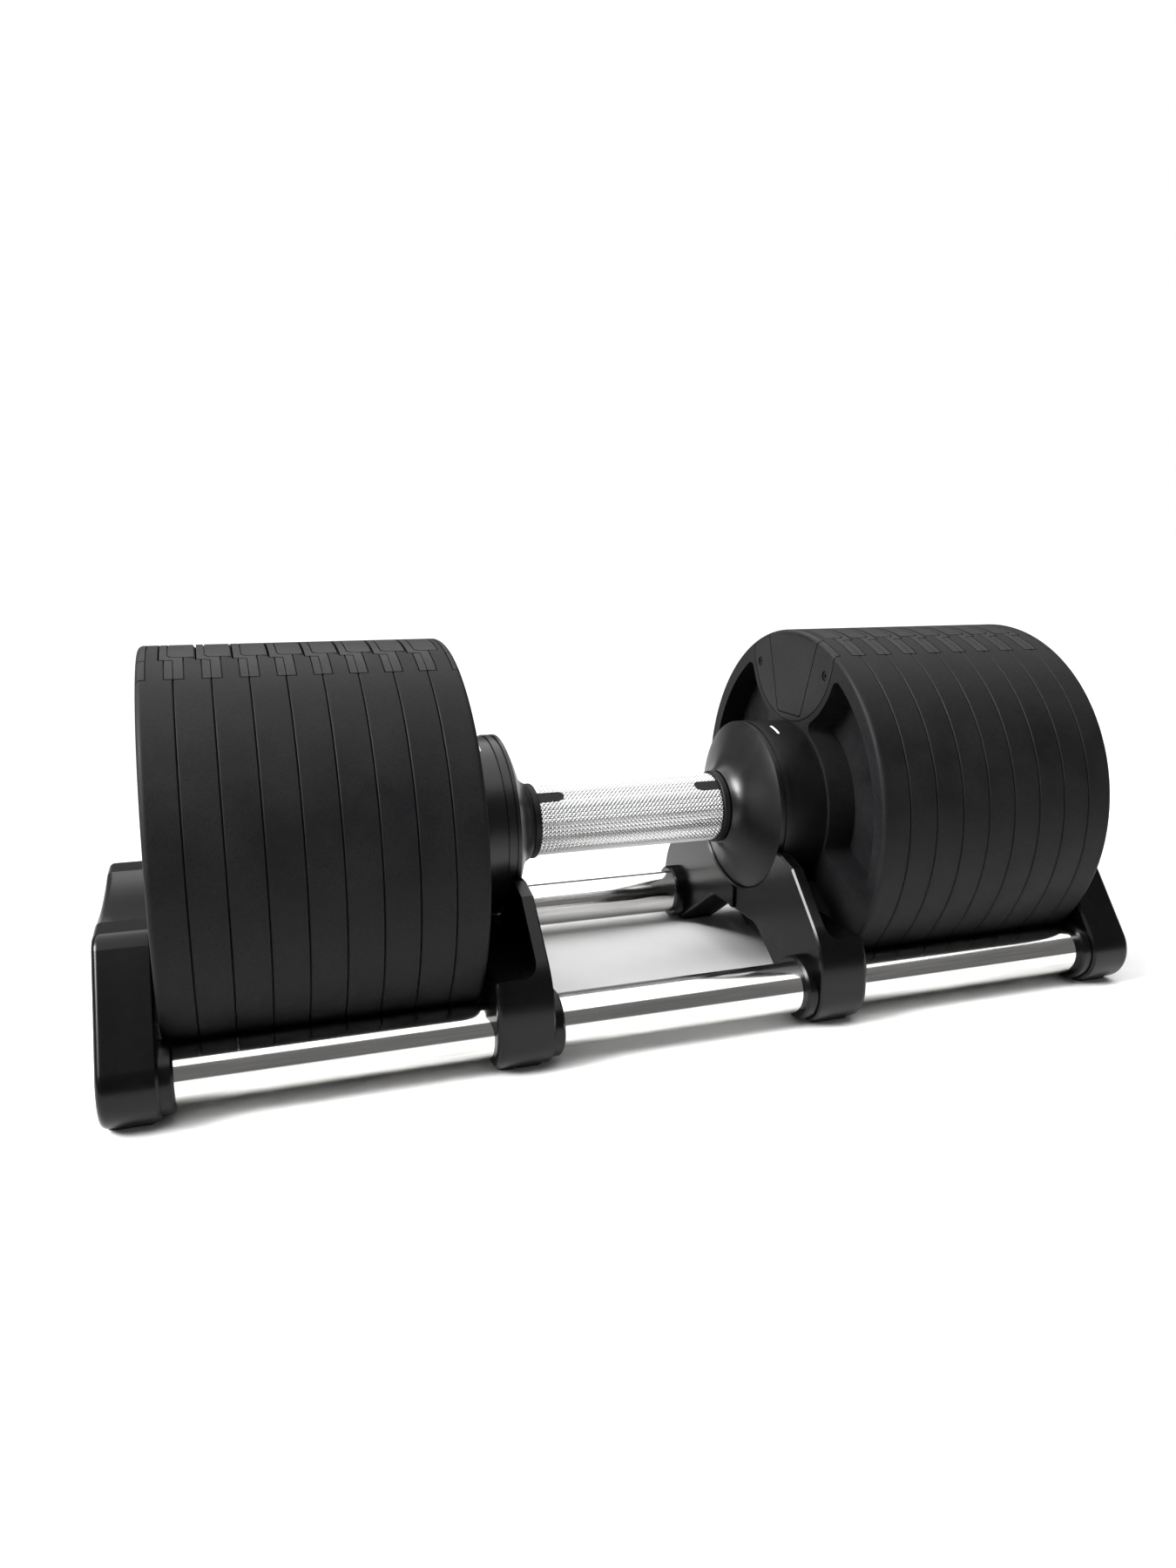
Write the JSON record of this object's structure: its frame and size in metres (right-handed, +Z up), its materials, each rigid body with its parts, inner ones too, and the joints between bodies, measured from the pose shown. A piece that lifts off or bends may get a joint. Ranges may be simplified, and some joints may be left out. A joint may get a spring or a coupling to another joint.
{
  "type": "adjustable dumbbell",
  "caption": "Twist-handle adjustable dumbbell with round interlocking plates, docked in a cradle of two chrome rails and black brackets.",
  "frame": {"origin": "on the floor under the middle of the handle", "axes": "+X along the handle, +Z up, -Y towards the front"},
  "size_m": [0.479, 0.1752, 0.1735],
  "materials": {
    "plate_iron": "fine textured black powder coat",
    "insert_paint": "satin black coat",
    "bracket_plastic": "moulded, semi-gloss",
    "hub_plastic": "moulded, semi-gloss",
    "collar_plastic": "moulded, matt",
    "rail_chrome": "bright chrome plate",
    "grip_chrome": "knurled, chrome plated",
    "bar_steel": "ground steel",
    "fixing_steel": "black oxide",
    "bush_brass": "turned",
    "rubber": "matt"
  },
  "bodies": {
    "cradle": {"front_rail": "rail_chrome", "rear_rail": "rail_chrome", "left_end_bracket": "bracket_plastic", "right_end_bracket": "bracket_plastic", "left_inner_bracket": "bracket_plastic", "right_inner_bracket": "bracket_plastic", "rail_fixings": "fixing_steel", "rubber_feet": "rubber"},
    "handle_frame": {"left_carrier": "plate_iron", "right_carrier": "plate_iron", "left_carrier_interlock": "insert_paint", "right_carrier_interlock": "insert_paint", "left_hub": "hub_plastic", "right_hub": "hub_plastic", "hub_screws": "fixing_steel", "axle_tube": "bar_steel", "guide_bushes": "bush_brass"},
    "grip": {"grip_tube": "grip_chrome", "drive_tube": "bar_steel", "left_collar": "collar_plastic", "right_collar": "collar_plastic"},
    "left_first_bar": {"left_outer_bar": "bar_steel"},
    "left_second_bar": {"left_inner_bar": "bar_steel"},
    "left_pin": {"left_lock_pin": "bar_steel"},
    "left_weight_1": {"left_plate_1": "plate_iron", "left_interlock_1": "insert_paint"},
    "left_weight_2": {"left_plate_2": "plate_iron", "left_interlock_2": "insert_paint"},
    "left_weight_3": {"left_plate_3": "plate_iron", "left_interlock_3": "insert_paint"},
    "left_weight_4": {"left_plate_4": "plate_iron", "left_interlock_4": "insert_paint"},
    "left_weight_5": {"left_plate_5": "plate_iron", "left_interlock_5": "insert_paint"},
    "left_weight_6": {"left_plate_6": "plate_iron", "left_interlock_6": "insert_paint"},
    "left_weight_7": {"left_plate_7": "plate_iron", "left_interlock_7": "insert_paint"},
    "left_weight_8": {"left_plate_8": "plate_iron", "left_interlock_8": "insert_paint"},
    "right_first_bar": {"right_outer_bar": "bar_steel"},
    "right_second_bar": {"right_inner_bar": "bar_steel"},
    "right_pin": {"right_lock_pin": "bar_steel"},
    "right_weight_1": {"right_plate_1": "plate_iron", "right_interlock_1": "insert_paint"},
    "right_weight_2": {"right_plate_2": "plate_iron", "right_interlock_2": "insert_paint"},
    "right_weight_3": {"right_plate_3": "plate_iron", "right_interlock_3": "insert_paint"},
    "right_weight_4": {"right_plate_4": "plate_iron", "right_interlock_4": "insert_paint"},
    "right_weight_5": {"right_plate_5": "plate_iron", "right_interlock_5": "insert_paint"},
    "right_weight_6": {"right_plate_6": "plate_iron", "right_interlock_6": "insert_paint"},
    "right_weight_7": {"right_plate_7": "plate_iron", "right_interlock_7": "insert_paint"},
    "right_weight_8": {"right_plate_8": "plate_iron", "right_interlock_8": "insert_paint"}
  },
  "joints": [
    {"name": "left_lift_8", "type": "slide", "parent": "cradle", "child": "left_weight_8", "axis": [0, 0, 1], "range_m": [0, 0.18]},
    {"name": "left_lift_7", "type": "slide", "parent": "left_weight_8", "child": "left_weight_7", "axis": [0, 0, 1], "range_m": [0, 0.18]},
    {"name": "left_lift_6", "type": "slide", "parent": "left_weight_7", "child": "left_weight_6", "axis": [0, 0, 1], "range_m": [0, 0.18]},
    {"name": "left_lift_5", "type": "slide", "parent": "left_weight_6", "child": "left_weight_5", "axis": [0, 0, 1], "range_m": [0, 0.18]},
    {"name": "left_lift_4", "type": "slide", "parent": "left_weight_5", "child": "left_weight_4", "axis": [0, 0, 1], "range_m": [0, 0.18]},
    {"name": "left_lift_3", "type": "slide", "parent": "left_weight_4", "child": "left_weight_3", "axis": [0, 0, 1], "range_m": [0, 0.18]},
    {"name": "left_lift_2", "type": "slide", "parent": "left_weight_3", "child": "left_weight_2", "axis": [0, 0, 1], "range_m": [0, 0.18]},
    {"name": "left_lift_1", "type": "slide", "parent": "left_weight_2", "child": "left_weight_1", "axis": [0, 0, 1], "range_m": [0, 0.18]},
    {"name": "right_lift_8", "type": "slide", "parent": "cradle", "child": "right_weight_8", "axis": [0, 0, 1], "range_m": [0, 0.18]},
    {"name": "right_lift_7", "type": "slide", "parent": "right_weight_8", "child": "right_weight_7", "axis": [0, 0, 1], "range_m": [0, 0.18]},
    {"name": "right_lift_6", "type": "slide", "parent": "right_weight_7", "child": "right_weight_6", "axis": [0, 0, 1], "range_m": [0, 0.18]},
    {"name": "right_lift_5", "type": "slide", "parent": "right_weight_6", "child": "right_weight_5", "axis": [0, 0, 1], "range_m": [0, 0.18]},
    {"name": "right_lift_4", "type": "slide", "parent": "right_weight_5", "child": "right_weight_4", "axis": [0, 0, 1], "range_m": [0, 0.18]},
    {"name": "right_lift_3", "type": "slide", "parent": "right_weight_4", "child": "right_weight_3", "axis": [0, 0, 1], "range_m": [0, 0.18]},
    {"name": "right_lift_2", "type": "slide", "parent": "right_weight_3", "child": "right_weight_2", "axis": [0, 0, 1], "range_m": [0, 0.18]},
    {"name": "right_lift_1", "type": "slide", "parent": "right_weight_2", "child": "right_weight_1", "axis": [0, 0, 1], "range_m": [0, 0.18]},
    {"name": "handle_lift", "type": "slide", "parent": "left_weight_1", "child": "handle_frame", "axis": [0, 0, 1], "range_m": [0, 0.18]},
    {"name": "grip_turn", "type": "hinge", "parent": "handle_frame", "child": "grip", "pos_m": [0, 0, 0.086], "axis": [1, 0, 0], "range_deg": [0, 320]},
    {"name": "left_first_stage", "type": "slide", "parent": "handle_frame", "child": "left_first_bar", "axis": [-1, 0, 0], "range_m": [0, 0.0559]},
    {"name": "left_second_stage", "type": "slide", "parent": "left_first_bar", "child": "left_second_bar", "axis": [-1, 0, 0], "range_m": [0, 0.0559]},
    {"name": "left_lock", "type": "slide", "parent": "handle_frame", "child": "left_pin", "axis": [0, 0, 1], "range_m": [-0.004, 0]},
    {"name": "right_first_stage", "type": "slide", "parent": "handle_frame", "child": "right_first_bar", "axis": [1, 0, 0], "range_m": [0, 0.0559]},
    {"name": "right_second_stage", "type": "slide", "parent": "right_first_bar", "child": "right_second_bar", "axis": [1, 0, 0], "range_m": [0, 0.0559]},
    {"name": "right_lock", "type": "slide", "parent": "handle_frame", "child": "right_pin", "axis": [0, 0, 1], "range_m": [-0.004, 0]}
  ],
  "couplings": [
    {"joint": "right_lift_8", "follows": "left_lift_8", "ratio": 1},
    {"joint": "right_lift_7", "follows": "left_lift_7", "ratio": 1},
    {"joint": "right_lift_6", "follows": "left_lift_6", "ratio": 1},
    {"joint": "right_lift_5", "follows": "left_lift_5", "ratio": 1},
    {"joint": "right_lift_4", "follows": "left_lift_4", "ratio": 1},
    {"joint": "right_lift_3", "follows": "left_lift_3", "ratio": 1},
    {"joint": "right_lift_2", "follows": "left_lift_2", "ratio": 1},
    {"joint": "right_lift_1", "follows": "left_lift_1", "ratio": 1},
    {"joint": "left_first_stage", "follows": "grip_turn", "m_per_rad": 0.01},
    {"joint": "left_second_stage", "follows": "grip_turn", "m_per_rad": 0.01},
    {"joint": "left_lock", "follows": "handle_lift", "ratio": -0.0222},
    {"joint": "right_first_stage", "follows": "grip_turn", "m_per_rad": 0.01},
    {"joint": "right_second_stage", "follows": "grip_turn", "m_per_rad": 0.01},
    {"joint": "right_lock", "follows": "handle_lift", "ratio": -0.0222}
  ]
}
